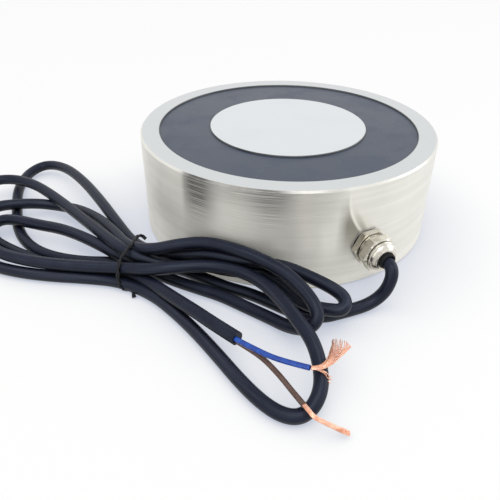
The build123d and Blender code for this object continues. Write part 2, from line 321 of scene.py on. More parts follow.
def worn_and_glinting_edges(tree, here, width, patches):
    """A mask of edge wear with a painted glint, over this width in metres, broken into so many
    patches per metre.
    """
    return use(tree, EDGE_WEAR_AND_GLINT, Position=here, Width=width, Patches_per_metre=patches)["Mask"]


def openness(tree, distance, samples=8):
    """1 in the open and less in a crease that is about as deep as the distance."""
    inputs = {"Distance": distance}
    return put(tree, "ShaderNodeAmbientOcclusion", inputs, samples=samples).outputs["AO"]


def upward_part(tree):
    """1 where the surface looks up, 0 on a wall and -1 where it looks down."""
    return split(tree, put(tree, "ShaderNodeNewGeometry").outputs["Normal"])["Z"]


def blend_colour(tree, mask, below, above):
    """Goes from the colour below to the one above as the mask goes from 0 to 1."""
    mix = put(tree, "ShaderNodeMix", {0: mask}, data_type="RGBA")
    for key, colour in ((6, below), (7, above)):
        fill(tree, mix.inputs[key], (*colour, 1.0) if isinstance(colour, tuple) else colour)
    return mix.outputs[2]


def layered(tree, colour, *layers):
    """The colour with layers over it, each given as its mask and its own colour."""
    for mask, above in layers:
        colour = blend_colour(tree, mask, colour, above)
    return colour


def emptied(owner):
    """The node tree of a material or a world, without its nodes."""
    owner.use_nodes = True
    owner.node_tree.nodes.clear()
    return owner.node_tree


def finish_for(name, **plain):
    """A material with its shader and its coordinates. Plain values are given by socket name."""
    made = bpy.data.materials.new(name)
    tree = emptied(made)
    shader = put(tree, "ShaderNodeBsdfPrincipled")
    for key, value in plain.items():
        shader.inputs[key.replace("_", " ")].default_value = value
    put(tree, "ShaderNodeOutputMaterial", {"Surface": shader.outputs[0]})
    return made, tree, shader, put(tree, "ShaderNodeTexCoord").outputs


def dress(tree, shader, colour, roughness, height, depth, strength):
    """Feeds the shader with its colour, its roughness and a relief that is so many metres deep."""
    inputs = {"Height": height, "Distance": depth, "Strength": strength}
    relief = take(tree, "ShaderNodeBump", inputs)
    for key, value in (("Base Color", colour), ("Roughness", roughness), ("Normal", relief)):
        tree.links.new(value, shader.inputs[key])


# painted dark reflections on the pot's wall: angle in degrees, half width in radians, the heights
# where each fades out and where it is full, and its strength
PAINTED_REFLECTION_PATCHES = [
    (-130.0, 0.50, 0.004, 0.060, 0.50),
    (-150.2, 0.195, 0.018, 0.046, 0.95),
    (-124.0, 0.20, 0.024, 0.050, 0.62),
    (-133.0, 0.44, 0.038, 0.049, 0.30),
    (-108.0, 0.20, 0.022, 0.044, 0.34),
]


def all_painted_reflections(tree, here, angle, ragged):
    """The painted dark reflections over each other, broken by the marks and cut off sharply on the
    left.
    """
    painted_dark_reflection = 0.0
    for centre, half_width, fades, full, strength in PAINTED_REFLECTION_PATCHES:
        patch = use(
            tree,
            PAINTED_REFLECTION_PATCH,
            Position=here,
            Angle=math.radians(centre),
            Half_width=half_width,
            Fades_from_height=fades,
            Full_from_height=full,
            Raggedness=ragged,
        )
        share = times(tree, patch["Mask"], strength)
        painted_dark_reflection = plus(tree, painted_dark_reflection, times(tree, share, minus(tree, 1.0, painted_dark_reflection)))
    breakup_by_marks = scale_range(tree, ragged, 0.7, 1.25, 0.38, 0.62)
    broken_reflections = times(tree, painted_dark_reflection, breakup_by_marks, clamp=True)
    return times(tree, broken_reflections, degrees_range(tree, angle, 0.25, 1.0, -157.6, -155.6))


def mirrored_gland(tree, angle, height):
    """The gland mirrored upwards in the wall: two dark wedges and the bright line between them."""
    over_gland = scale_range(tree, height, 0.0, 1.0, 0.016, 0.031)
    lean = maths(tree, "POWER", scale_range(tree, height, 1.0, 0.0, 0.028, 0.046), 2.0)
    line_angle = plus(tree, times(tree, lean, math.radians(5.3)), math.radians(-98.4))
    from_line = minus(tree, angle, line_angle)
    left_wedge = times(
        tree,
        degrees_range(tree, angle, 0.0, 0.8, -102.2, -98.4),
        degrees_range(tree, from_line, 1.0, 0.0, -0.9, 0.1),
        scale_range(tree, height, 1.0, 0.0, 0.034, 0.047),
    )
    right_edge = scale_range(tree, height, math.radians(-90.3), math.radians(-95.0), 0.029, 0.040)
    right_wedge = times(
        tree,
        degrees_range(tree, from_line, 0.0, 0.5, 0.2, 1.2),
        degrees_range(tree, minus(tree, angle, right_edge), 1.0, 0.0, -1.4, 0.0),
        scale_range(tree, height, 1.0, 0.0, 0.030, 0.041),
    )
    near_line = degrees_range(tree, maths(tree, "ABSOLUTE", from_line), 0.75, 0.0, 0.15, 0.75)
    wedges = times(tree, plus(tree, left_wedge, right_wedge, clamp=True), over_gland)
    line = times(tree, near_line, over_gland, scale_range(tree, height, 1.0, 0.25, 0.038, 0.047))
    return wedges, line


def nickel_plated_steel():
    """Satin plating over turning marks. What the wall mirrors is drawn into its colour."""
    made, tree, shader, place = finish_for("nickel plated steel", Anisotropic_Rotation=0.25)
    here = place["Object"]
    marks = marked(tree, here, 1500.0, 2.5)
    haze = smudged(tree, here, 28.0, 0.45, 0.75)
    worn_and_glint = worn_and_glinting_edges(tree, here, 0.0007, 180.0)
    parts = split(tree, here)
    height = parts["Z"]
    angle = angle_of(tree, parts)
    radius = radius_of(tree, parts)
    flat = scale_range(tree, upward_part(tree), 0.0, 1.0, 0.75, 0.95)
    side = minus(tree, 1.0, flat)
    outer = scale_range(tree, radius, 0.0, 1.0, POT_RADIUS - 0.005, POT_RADIUS - 0.002)
    rim = scale_range(tree, radius, 0.0, 1.0, POT_RADIUS - 0.012, POT_RADIUS - 0.011)
    # painted dark reflections of the surroundings on the wall
    painted_dark_reflection = all_painted_reflections(tree, here, angle, marks["Height"])
    wedges, line = mirrored_gland(tree, angle, height)
    pole_tone = (0.75, 0.78, 0.80)
    rim_tone = (0.675, 0.695, 0.70)
    wall_tone = (0.81, 0.80, 0.745)
    bands = scale_range(tree, marks["Bands"], 0.0, 0.3, 0.35, 0.65)
    base_edge = scale_range(tree, height, 0.85, 0.0, 0.0005, 0.0014)
    groove = minus(tree, 1.0, outer)
    colour = layered(
        tree,
        wall_tone,
        (flat, blend_colour(tree, rim, pole_tone, rim_tone)),
        (times(tree, bands, side), (0.62, 0.605, 0.54)),
        # painted reflections: dark patches of the surroundings, then the gland's dark wedges and
        # bright line
        (times(tree, painted_dark_reflection, side), (0.105, 0.103, 0.096)),
        (times(tree, wedges, side), (0.20, 0.19, 0.15)),
        (times(tree, line, side), (0.92, 0.91, 0.84)),
        (times(tree, haze, scale_range(tree, side, 0.04, 0.16)), (0.45, 0.44, 0.42)),
        # edge wear with a painted glint on the pot's outer edges
        (times(tree, worn_and_glint, outer, 0.6), (0.93, 0.93, 0.92)),
        # the base edge and the groove's walls lie in the dark
        (times(tree, base_edge, side), (0.10, 0.10, 0.09)),
        (times(tree, groove, side, 0.9), (0.055, 0.06, 0.07)),
    )
    roughness = scale_range(tree, marks["Height"], 0.28, 0.42)
    roughness = plus(tree, roughness, times(tree, haze, 0.08))
    dress(tree, shader, colour, roughness, marks["Height"], 0.00006, 0.5)
    # on the side the sheen is stretched round the axis
    round_axis = take(tree, "ShaderNodeTangent", direction_type="RADIAL", axis="Z")
    tree.links.new(round_axis, shader.inputs["Tangent"])
    tree.links.new(times(tree, side, 0.85), shader.inputs["Anisotropic"])
    tree.links.new(scale_range(tree, side, 1.0, 0.45), shader.inputs["Metallic"])
    return made


def along_gland(tree, here):
    """Turns the gland's own axis onto z, so that its turning marks run round it."""
    centred = vector_maths(tree, "ADD", {0: here, 1: (0, 0, -GLAND_HEIGHT)})[0]
    inputs = {"Vector": centred, "Rotation": (math.pi / 2, 0, 0)}
    return take(tree, "ShaderNodeMapping", inputs)


def polished_nickel():
    """The gland's bright plating: tarnish, a painted dark reflection on its left side, edge wear
    with a painted glint, and painted shade in its creases.
    """
    made, tree, shader, place = finish_for("polished nickel", Metallic=1.0)
    here = place["Object"]
    marks = marked(tree, along_gland(tree, here), 5000.0, 4.0)
    facing = split(tree, place["Normal"])["X"]
    colour = layered(
        tree,
        (0.76, 0.73, 0.66),
        (times(tree, smudged(tree, here, 260.0, 0.42, 0.66), 0.5), (0.42, 0.38, 0.31)),
        # painted dark reflection on the side that faces left
        (scale_range(tree, facing, 0.75, 0.0, -0.85, -0.1), (0.30, 0.28, 0.23)),
        # edge wear with a painted glint
        (times(tree, worn_and_glinting_edges(tree, here, 0.0004, 600.0), 0.75), (0.95, 0.93, 0.87)),
        # painted shade in the creases and gaps
        (scale_range(tree, openness(tree, 0.003), 0.75, 0.0, 0.15, 0.7), (0.10, 0.09, 0.07)),
    )
    roughness = scale_range(tree, marks["Height"], 0.16, 0.3)
    dress(tree, shader, colour, roughness, marks["Height"], 0.00003, 0.5)
    return made


def cast_epoxy():
    """Blue grey casting resin: clouded, with painted shade at its edges, with flecks and a little
    dust.
    """
    made, tree, shader, place = finish_for("blue grey epoxy", IOR=1.5)
    here = place["Object"]
    grain = grained(tree, here, 2600.0, 110.0)
    cloud = smudged(tree, here, 60.0, 0.4, 0.75)
    colour = layered(
        tree,
        (0.032, 0.047, 0.080),
        (cloud, (0.047, 0.063, 0.099)),
        # painted shade at the edges and in the creases
        (scale_range(tree, openness(tree, 0.0025), 0.8, 0.0, 0.5, 0.9), (0.012, 0.014, 0.02)),
        (times(tree, grain["Speckle"], 0.10), (0.3, 0.33, 0.36)),
        (times(tree, smudged(tree, here, 420.0, 0.62, 0.7), 0.08), (0.4, 0.42, 0.45)),
    )
    roughness = scale_range(tree, cloud, 0.34, 0.5)
    dress(tree, shader, colour, roughness, grain["Height"], 0.00012, 0.35)
    return made


def moulded(name, dark, light, rough, grains, depth, rubbing_and_glint=0.4, **plain):
    """Moulded plastic or rubber: grain, faint cloudiness, and edges a little lighter from wear and
    a painted glint.
    """
    made, tree, shader, place = finish_for(name, **plain)
    here = place["Object"]
    grain = grained(tree, here, grains, grains / 9)
    rubbed_and_glint = tuple(min(1.0, 0.04 + 1.3 * part) for part in light)
    colour = layered(
        tree,
        dark,
        (smudged(tree, here, 130.0, 0.35, 0.75), light),
        # edges lighter from wear and a painted glint
        (times(tree, worn_and_glinting_edges(tree, here, 0.0003, 500.0), rubbing_and_glint), rubbed_and_glint),
    )
    roughness = scale_range(tree, grain["Height"], rough - 0.08, rough + 0.08, 0.3, 0.7)
    dress(tree, shader, colour, roughness, grain["Height"], depth, 0.6)
    return made


def wound_copper():
    """Enamelled wire, laid turn by turn along z."""
    made, tree, shader, place = finish_for(
        "enamelled copper winding", Metallic=1.0, Coat_Weight=0.6, Coat_Roughness=0.12
    )
    here = place["Object"]
    marks = marked(tree, here, 900.0, 0.2)
    wave = put(tree, "ShaderNodeTexWave", {"Vector": here, "Scale": 320.0}, bands_direction="Z")
    turns = wave.outputs[1]
    colour = layered(
        tree,
        (0.62, 0.2, 0.08),
        (smudged(tree, here, 70.0, 0.35, 0.7), (0.78, 0.34, 0.16)),
        # painted shade in the grooves between the turns
        (scale_range(tree, turns, 0.5, 0.0, 0.0, 0.5), (0.2, 0.05, 0.02)),
    )
    roughness = scale_range(tree, marks["Height"], 0.22, 0.4)
    dress(tree, shader, colour, roughness, turns, 0.00015, 0.8)
    return made


def wound_tape():
    """Layers of amber tape."""
    made, tree, shader, place = finish_for("polyester tape", Coat_Weight=0.3, Coat_Roughness=0.2)
    here = place["Object"]
    grain = grained(tree, here, 5000.0, 300.0)
    marks = marked(tree, here, 700.0, 0.5)
    colour = layered(
        tree,
        (0.66, 0.5, 0.14),
        (smudged(tree, here, 90.0, 0.35, 0.7), (0.78, 0.63, 0.22)),
        (scale_range(tree, marks["Bands"], 0.0, 0.4, 0.45, 0.6), (0.5, 0.36, 0.1)),
    )
    roughness = scale_range(tree, grain["Height"], 0.3, 0.5)
    dress(tree, shader, colour, roughness, marks["Height"], 0.0001, 0.5)
    return made


def cord_jacket():
    """Extruded jacket: streaks, dust and scuffs along it, with painted shade in its creases and
    towards its underside.
    """
    made, tree, shader, place = finish_for(
        "cord jacket", IOR=1.5, Specular_IOR_Level=0.27, Specular_Tint=(0.72, 0.82, 1.0, 1.0)
    )
    here = place["Object"]
    streaks = streaked(tree, place, 26.0, 90.0)
    grain = grained(tree, here, 4200.0, 260.0)
    cloud = smudged(tree, here, 110.0, 0.4, 0.75)
    scuffed = layered(
        tree,
        (0.0055, 0.0075, 0.0185),
        (cloud, (0.0105, 0.0135, 0.0285)),
        (times(tree, streaks["Scuffs"], 0.55), (0.058, 0.064, 0.09)),
    )
    # painted shade: near black in the creases and towards the underside
    unshaded_part = times(
        tree,
        scale_range(tree, openness(tree, 0.014), 0.0, 1.0, 0.1, 0.7),
        scale_range(tree, upward_part(tree), 0.3, 1.0, -0.5, 0.75),
    )
    colour = blend_colour(tree, unshaded_part, (0.002, 0.002, 0.003), scuffed)
    roughness = scale_range(tree, streaks["Height"], 0.32, 0.5)
    roughness = plus(tree, roughness, times(tree, cloud, 0.08))
    height = plus(tree, streaks["Height"], times(tree, grain["Height"], 0.6))
    dress(tree, shader, colour, roughness, height, 0.00012, 0.5)
    return made


def core_insulation(name, dark, light):
    """Extruded insulation, chalky where it is scuffed."""
    made, tree, shader, place = finish_for(name, IOR=1.5, Coat_Weight=0.15, Coat_Roughness=0.25)
    streaks = streaked(tree, place, 10.0, 6.0)
    chalk = tuple(0.6 * part + 0.1 for part in light)
    colour = layered(
        tree,
        dark,
        (smudged(tree, place["Object"], 400.0, 0.4, 0.7), light),
        (times(tree, streaks["Scuffs"], 0.12), chalk),
    )
    roughness = scale_range(tree, streaks["Height"], 0.3, 0.45)
    dress(tree, shader, colour, roughness, streaks["Height"], 0.00005, 0.5)
    return made


def bare_copper():
    """Bare wires, a little tarnished in places."""
    made, tree, shader, place = finish_for("bare copper strands", Metallic=1.0)
    here = place["Object"]
    grain = grained(tree, here, 6000.0, 900.0)
    tarnish = smudged(tree, here, 500.0, 0.35, 0.65)
    colour = blend_colour(tree, tarnish, (0.93, 0.58, 0.43), (0.76, 0.38, 0.25))
    roughness = scale_range(tree, grain["Height"], 0.3, 0.5)
    dress(tree, shader, colour, roughness, grain["Height"], 0.00002, 0.4)
    return made


NICKEL_STEEL = nickel_plated_steel()
POLISHED_NICKEL = polished_nickel()
EPOXY = cast_epoxy()
# dark and light colour, roughness, grains per metre and depth of the grain in metres
BOBBIN = moulded(
    "glass filled bobbin plastic", (0.05, 0.05, 0.052), (0.08, 0.08, 0.08), 0.55, 3000.0, 0.0001
)
RUBBER = moulded(
    "black seal rubber",
    (0.004, 0.004, 0.005), (0.010, 0.010, 0.011), 0.6, 3600.0, 0.00008,
    rubbing_and_glint=0.08, Specular_IOR_Level=0.22,
)
NYLON = moulded("white nylon", (0.72, 0.71, 0.67), (0.82, 0.81, 0.78), 0.45, 2400.0, 0.00008)
SLEEVE = moulded("shrink sleeve", (0.035, 0.035, 0.037), (0.06, 0.06, 0.06), 0.45, 2600.0, 0.0001)
TIE_PLASTIC = moulded(
    "coated tie wire",
    (0.005, 0.005, 0.008), (0.010, 0.010, 0.014), 0.55, 5000.0, 0.00004,
    rubbing_and_glint=0.06, Specular_IOR_Level=0.3,
)
WINDING = wound_copper()
TAPE = wound_tape()
JACKET = cord_jacket()
BLUE = core_insulation("blue core insulation", (0.002, 0.044, 0.31), (0.004, 0.078, 0.45))
BROWN = core_insulation("brown core insulation", (0.085, 0.042, 0.031), (0.13, 0.07, 0.057))
COPPER = bare_copper()

node_finish = {
    "pot": NICKEL_STEEL,
    "potting": EPOXY,
    "coil_bobbin": BOBBIN,
    "copper_winding": WINDING,
    "winding_tape": TAPE,
    "inner_core_blue": BLUE,
    "inner_core_brown": BROWN,
    "splice_sleeve_blue": SLEEVE,
    "splice_sleeve_brown": SLEEVE,
    "winding_lead_blue": COPPER,
    "winding_lead_brown": COPPER,
    "gland_gasket": RUBBER,
    "gland_body": POLISHED_NICKEL,
    "gland_claw": NYLON,
    "gland_seal": RUBBER,
}
for name, made in node_finish.items():
    mesh = nodes[name].data
    mesh.materials.clear()
    mesh.materials.append(made)

# the cord's route: points in metres in the magnet's frame, from the gland out to the cut end
JACKET_ROUTE = [
    # out of the gland's seal and down to the floor
    (0.0000, -0.0840, 0.0205),
    (0.0000, -0.0920, 0.0205),
    (-0.0008, -0.0953, 0.0172),
    (-0.0025, -0.0959, 0.0122),
    (-0.0042, -0.0953, 0.0082),
    (-0.0070, -0.0944, 0.0050),
    (-0.0118, -0.0939, 0.0032),
    (-0.0183, -0.0934, 0.0028),
    # along the floor into the hank
    (-0.0234, -0.0930, 0.0028),
    (-0.0312, -0.0924, 0.0028),
    (-0.0375, -0.0884, 0.0028),
    (-0.0428, -0.0822, 0.0028),
    (-0.0474, -0.0736, 0.0028),
    (-0.0530, -0.0645, 0.0028),
    (-0.0595, -0.0570, 0.0028),
    (-0.0665, -0.0460, 0.0028),
    (-0.0740, -0.0340, 0.0028),
    (-0.0855, -0.0245, 0.0028),
    # first bight on the left, along the floor and up
    (-0.0975, -0.0170, 0.0028),
    (-0.1135, -0.0095, 0.0028),
    (-0.1265, 0.0015, 0.0028),
    (-0.1345, 0.0145, 0.0028),
    (-0.1380, 0.0330, 0.0028),
    (-0.1360, 0.0555, 0.0028),
    (-0.1325, 0.0810, 0.0028),
    (-0.1245, 0.0990, 0.0035),
    (-0.1125, 0.1055, 0.0050),
    (-0.1025, 0.0915, 0.0070),
    (-0.0970, 0.0640, 0.0088),
    (-0.0940, 0.0345, 0.0098),
    (-0.0920, 0.0100, 0.0094),
    # back over the top of the hank to the first right end
    (-0.0900, -0.0105, 0.0086),
    (-0.0845, -0.0245, 0.0094),
    (-0.0745, -0.0375, 0.0132),
    (-0.0635, -0.0460, 0.0158),
    (-0.0550, -0.0565, 0.0167),
    (-0.0455, -0.0644, 0.0168),
    (-0.0380, -0.0707, 0.0165),
    (-0.0321, -0.0790, 0.0153),
    (-0.0278, -0.0850, 0.0140),
    (-0.0250, -0.0896, 0.0129),
    (-0.0237, -0.0940, 0.0120),
    (-0.0250, -0.0978, 0.0109),
    (-0.0282, -0.0988, 0.0099),
    (-0.0317, -0.0958, 0.0093),
    # and under it again
    (-0.0351, -0.0927, 0.0091),
    (-0.0383, -0.0892, 0.0095),
    (-0.0407, -0.0849, 0.0101),
    (-0.0413, -0.0801, 0.0108),
    (-0.0423, -0.0752, 0.0113),
    (-0.0438, -0.0698, 0.0115),
    (-0.0454, -0.0635, 0.0113),
    (-0.0526, -0.0590, 0.0106),
    (-0.0586, -0.0536, 0.0100),
    (-0.0655, -0.0458, 0.0096),
    (-0.0745, -0.0408, 0.0088),
    (-0.0828, -0.0362, 0.0092),
    (-0.0910, -0.0305, 0.0116),
    # second left bight
    (-0.0970, -0.0240, 0.0138),
    (-0.1023, -0.0026, 0.0124),
    (-0.1090, 0.0255, 0.0104),
    (-0.1165, 0.0520, 0.0098),
    (-0.1235, 0.0700, 0.0098),
    (-0.1335, 0.0830, 0.0094),
    (-0.1455, 0.0860, 0.0090),
    (-0.1570, 0.0720, 0.0080),
    (-0.1625, 0.0485, 0.0060),
    (-0.1610, 0.0245, 0.0040),
    (-0.1540, 0.0070, 0.0028),
    (-0.1435, -0.0040, 0.0028),
    (-0.1300, -0.0140, 0.0028),
    (-0.1155, -0.0225, 0.0028),
    # the front loop and back
    (-0.1015, -0.0320, 0.0028),
    (-0.0915, -0.0470, 0.0028),
    (-0.0865, -0.0630, 0.0028),
    (-0.0830, -0.0785, 0.0028),
    (-0.0805, -0.0940, 0.0028),
    (-0.0785, -0.1090, 0.0028),
    (-0.0760, -0.1210, 0.0028),
    (-0.0725, -0.1295, 0.0028),
    (-0.0675, -0.1340, 0.0032),
    (-0.0610, -0.1330, 0.0045),
    (-0.0550, -0.1280, 0.0070),
    (-0.0515, -0.1205, 0.0100),
    (-0.0495, -0.1115, 0.0130),
    (-0.0504, -0.1028, 0.0155),
    (-0.0506, -0.0922, 0.0162),
    (-0.0510, -0.0802, 0.0160),
    (-0.0535, -0.0680, 0.0150),
    (-0.0590, -0.0580, 0.0140),
    (-0.0680, -0.0510, 0.0138),
    (-0.0780, -0.0475, 0.0136),
    (-0.0900, -0.0420, 0.0124),
    # third left bight
    (-0.1005, -0.0300, 0.0086),
    (-0.1145, -0.0215, 0.0082),
    (-0.1285, -0.0125, 0.0082),
    (-0.1395, -0.0035, 0.0082),
    (-0.1490, 0.0070, 0.0084),
    (-0.1550, 0.0230, 0.0084),
    (-0.1545, 0.0440, 0.0084),
    (-0.1465, 0.0540, 0.0086),
    (-0.1350, 0.0520, 0.0086),
    (-0.1235, 0.0515, 0.0064),
    (-0.1136, 0.0474, 0.0044),
    (-0.1048, 0.0356, 0.0060),
    (-0.0990, 0.0170, 0.0088),
    (-0.0960, -0.0020, 0.0114),
    # up to the second right end
    (-0.0945, -0.0200, 0.0128),
    (-0.0865, -0.0340, 0.0168),
    (-0.0755, -0.0390, 0.0198),
    (-0.0650, -0.0450, 0.0217),
    (-0.0557, -0.0562, 0.0222),
    (-0.0484, -0.0682, 0.0218),
    (-0.0436, -0.0782, 0.0206),
    (-0.0415, -0.0865, 0.0194),
    (-0.0400, -0.0950, 0.0168),
    (-0.0400, -0.1010, 0.0130),
    (-0.0445, -0.1020, 0.0088),
    # and down to the floor
    (-0.0486, -0.0942, 0.0046),
    (-0.0527, -0.0824, 0.0028),
    (-0.0585, -0.0720, 0.0028),
    (-0.0644, -0.0612, 0.0028),
    (-0.0710, -0.0528, 0.0028),
    (-0.0781, -0.0436, 0.0028),
    (-0.0845, -0.0365, 0.0040),
    (-0.0910, -0.0290, 0.0076),
    # fourth left bight
    (-0.0980, -0.0205, 0.0086),
    (-0.1040, -0.0083, 0.0088),
    (-0.1115, 0.0050, 0.0091),
    (-0.1190, 0.0160, 0.0089),
    (-0.1275, 0.0245, 0.0084),
    (-0.1360, 0.0335, 0.0084),
    (-0.1430, 0.0395, 0.0078),
    (-0.1485, 0.0390, 0.0066),
    (-0.1510, 0.0340, 0.0050),
    (-0.1495, 0.0265, 0.0036),
    (-0.1450, 0.0190, 0.0028),
    (-0.1385, 0.0085, 0.0028),
    (-0.1285, -0.0050, 0.0028),
    (-0.1145, -0.0165, 0.0028),
    # out over the hank to the cut end
    (-0.0995, -0.0250, 0.0028),
    (-0.0915, -0.0400, 0.0058),
    (-0.0865, -0.0585, 0.0082),
    (-0.0815, -0.0740, 0.0098),
    (-0.0775, -0.0865, 0.0106),
    (-0.0735, -0.0970, 0.0110),
]
# the stripped cores: from the jacket's cut end to where each one's copper starts
BLUE_ROUTE = [
    (-0.0747, -0.0965, 0.0114),
    (-0.0728, -0.1007, 0.0116),
    (-0.0699, -0.1064, 0.0118),
    (-0.0670, -0.1122, 0.0122),
    (-0.0623, -0.1187, 0.0129),
    (-0.0580, -0.1239, 0.0136),
]
BROWN_ROUTE = [
    (-0.0738, -0.0974, 0.0100),
    (-0.0717, -0.1010, 0.0094),
    (-0.0694, -0.1055, 0.0088),
    (-0.0677, -0.1104, 0.0084),
    (-0.0664, -0.1191, 0.0080),
    (-0.0661, -0.1260, 0.0080),
    (-0.0659, -0.1339, 0.0088),
]


def add_object(name, data):
    """A new object in the scene."""
    made = bpy.data.objects.new(name, data)
    bpy.context.scene.collection.objects.link(made)
    return made


def smooth_line(name, points, radius=0.0, steps=12, round_steps=5):
    """A curve object with one smooth spline that has the points as its control points."""
    line = bpy.data.curves.new(name, "CURVE")
    line.dimensions = "3D"
    line.resolution_u = steps
    line.bevel_depth = radius
    line.bevel_resolution = round_steps
    line.use_fill_caps = True
    spline = line.splines.new("NURBS")
    spline.points.add(len(points) - 1)
    for point, place in zip(spline.points, points):
        point.co = (*place, 1.0)
    spline.order_u = 3
    spline.use_endpoint_u = True
    return add_object(name, line)


def plain_mesh(piece):
    """The evaluated piece as a plain mesh object of the same name, in the first one's stead."""
    bpy.context.view_layer.update()
    evaluated = piece.evaluated_get(bpy.context.evaluated_depsgraph_get())
    mesh = bpy.data.meshes.new_from_object(evaluated)
    name = piece.name
    bpy.data.objects.remove(piece)
    mesh.name = name
    return add_object(name, mesh)


def twisted_wires():
    """Geometry nodes: the line becomes some wires that twist about it and spread at its end."""
    tree, given, result = group(
        "GeometryNodeTree",
        "Twisted wires",
        [
            ("Line", "NodeSocketGeometry", None),
            ("Wires", "NodeSocketInt", 12),
            ("Wire radius", "NodeSocketFloat", 0.0002),
            ("Bundle radius", "NodeSocketFloat", 0.0007),
            ("Spread", "NodeSocketFloat", 0.004),
            ("Turns", "NodeSocketFloat", 1.0),
            ("Seed", "NodeSocketInt", 1),
            ("Finish", "NodeSocketMaterial", None),
        ],
        [("Wires", "NodeSocketGeometry")],
    )
    evenly = take(tree, "GeometryNodeResampleCurve", {"Curve": given["Line"], "Count": 28})
    inputs = {"Geometry": evenly, "Amount": given["Wires"]}
    copies = put(tree, "GeometryNodeDuplicateElements", inputs, domain="SPLINE").outputs
    held = put(tree, "GeometryNodeCaptureAttribute", {0: copies[0]}, domain="CURVE")
    held.capture_items.new("INT", "Wire")
    tree.links.new(copies["Duplicate Index"], held.inputs[1])
    wire = held.outputs[1]
    along = put(tree, "GeometryNodeSplineParameter").outputs["Factor"]
    tangent = take(tree, "GeometryNodeInputTangent")
    level = vector_maths(tree, "CROSS_PRODUCT", {0: tangent, 1: (0.0, 0.0, 1.0)})[0]
    side = vector_maths(tree, "NORMALIZE", {0: level})[0]
    over = vector_maths(tree, "CROSS_PRODUCT", {0: side, 1: tangent})[0]
    # each wire has its own place round the bundle and its own distance from the middle
    chance = {"ID": wire, "Seed": given["Seed"]}
    share = put(tree, "FunctionNodeRandomValue", chance, data_type="FLOAT").outputs[1]
    start = maths(tree, "DIVIDE", wire, given["Wires"])
    turn = times(tree, plus(tree, start, times(tree, along, given["Turns"])), 2 * math.pi)
    reach = plus(tree, times(tree, maths(tree, "POWER", share, 0.5), 0.45), 0.55)
    splay = times(tree, maths(tree, "POWER", along, 1.8), given["Spread"])
    distance = times(tree, reach, plus(tree, given["Bundle radius"], splay))
    # the bundle is half as thick as it is wide
    sideways = times(tree, distance, maths(tree, "COSINE", turn))
    upwards = times(tree, distance, times(tree, maths(tree, "SINE", turn), 0.5))
    offset_side = vector_maths(tree, "SCALE", {0: side, "Scale": sideways})[0]
    offset_over = vector_maths(tree, "SCALE", {0: over, "Scale": upwards})[0]
    offset = vector_maths(tree, "ADD", {0: offset_side, 1: offset_over})[0]
    placed = take(tree, "GeometryNodeSetPosition", {"Geometry": held.outputs[0], "Offset": offset})
    inputs = {"Resolution": 6, "Radius": given["Wire radius"]}
    section = take(tree, "GeometryNodeCurvePrimitiveCircle", inputs)
    inputs = {"Curve": placed, "Profile Curve": section, "Fill Caps": True}
    solid = take(tree, "GeometryNodeCurveToMesh", inputs)
    real = take(tree, "GeometryNodeRealizeInstances", {"Geometry": solid})
    inputs = {"Geometry": real, "Material": given["Finish"]}
    tree.links.new(take(tree, "GeometryNodeSetMaterial", inputs), result["Wires"])
    return tree


TWISTED_WIRES = twisted_wires()


def wires_along(name, points, **sizes):
    """A bundle of wires along the points, as one plain mesh."""
    line = smooth_line(name, points)
    modifier = line.modifiers.new("wires", "NODES")
    modifier.node_group = TWISTED_WIRES
    for item in TWISTED_WIRES.interface.items_tree:
        key = item.name.replace(" ", "_").lower()
        if item.in_out == "INPUT" and key in sizes:
            modifier[item.identifier] = sizes[key]
    return plain_mesh(line)


strands_blue = wires_along(
    "copper_strands_blue",
    [
        (-0.0576, -0.1240, 0.0136),
        (-0.0553, -0.1252, 0.0133),
        (-0.0500, -0.1238, 0.0124),
        (-0.0442, -0.1200, 0.0114),
        (-0.0393, -0.1160, 0.0108),
    ],
    wires=28, wire_radius=STRAND_RADIUS, bundle_radius=0.0009,
    spread=0.0029, turns=0.35, seed=3, finish=COPPER,
)
# a few wires that missed the twist and hang down
loose_wires = wires_along(
    "copper_loose_wires",
    [
        (-0.0568, -0.1246, 0.0134),
        (-0.0545, -0.1257, 0.0124),
        (-0.0525, -0.1265, 0.0108),
        (-0.0524, -0.1272, 0.0092),
        (-0.0514, -0.1279, 0.0084),
    ],
    wires=5, wire_radius=STRAND_RADIUS, bundle_radius=0.0004,
    spread=0.0012, turns=0.4, seed=9, finish=COPPER,
)
strands_brown = wires_along(
    "copper_strands_brown",
    [
        (-0.0659, -0.1334, 0.0088),
        (-0.0657, -0.1368, 0.0089),
        (-0.0653, -0.1393, 0.0084),
        (-0.0613, -0.1420, 0.0056),
        (-0.0574, -0.1442, 0.0032),
        (-0.0548, -0.1455, 0.0016),
    ],
    wires=20, wire_radius=STRAND_RADIUS, bundle_radius=0.0008,
    spread=0.0004, turns=0.6, seed=5, finish=COPPER,
)
tie = wires_along(
    "hank_tie",
    [
        # the hook on top, over the near side and the stub on the floor
        (-0.0843, -0.0165, 0.0120),
        (-0.0855, -0.0151, 0.0138),
        (-0.0881, -0.0168, 0.0152),
        (-0.0925, -0.0251, 0.0170),
        (-0.0977, -0.0307, 0.0170),
        (-0.1003, -0.0307, 0.0140),
        (-0.1023, -0.0336, 0.0115),
        (-0.1035, -0.0349, 0.0060),
        (-0.1022, -0.0366, 0.0010),
        (-0.0994, -0.0366, 0.0010),
        (-0.0983, -0.0388, 0.0016),
        (-0.0989, -0.0433, 0.0010),
    ],
    wires=2, wire_radius=TIE_WIRE_RADIUS, bundle_radius=0.00062,
    spread=0.0, turns=4.5, seed=1, finish=TIE_PLASTIC,
)

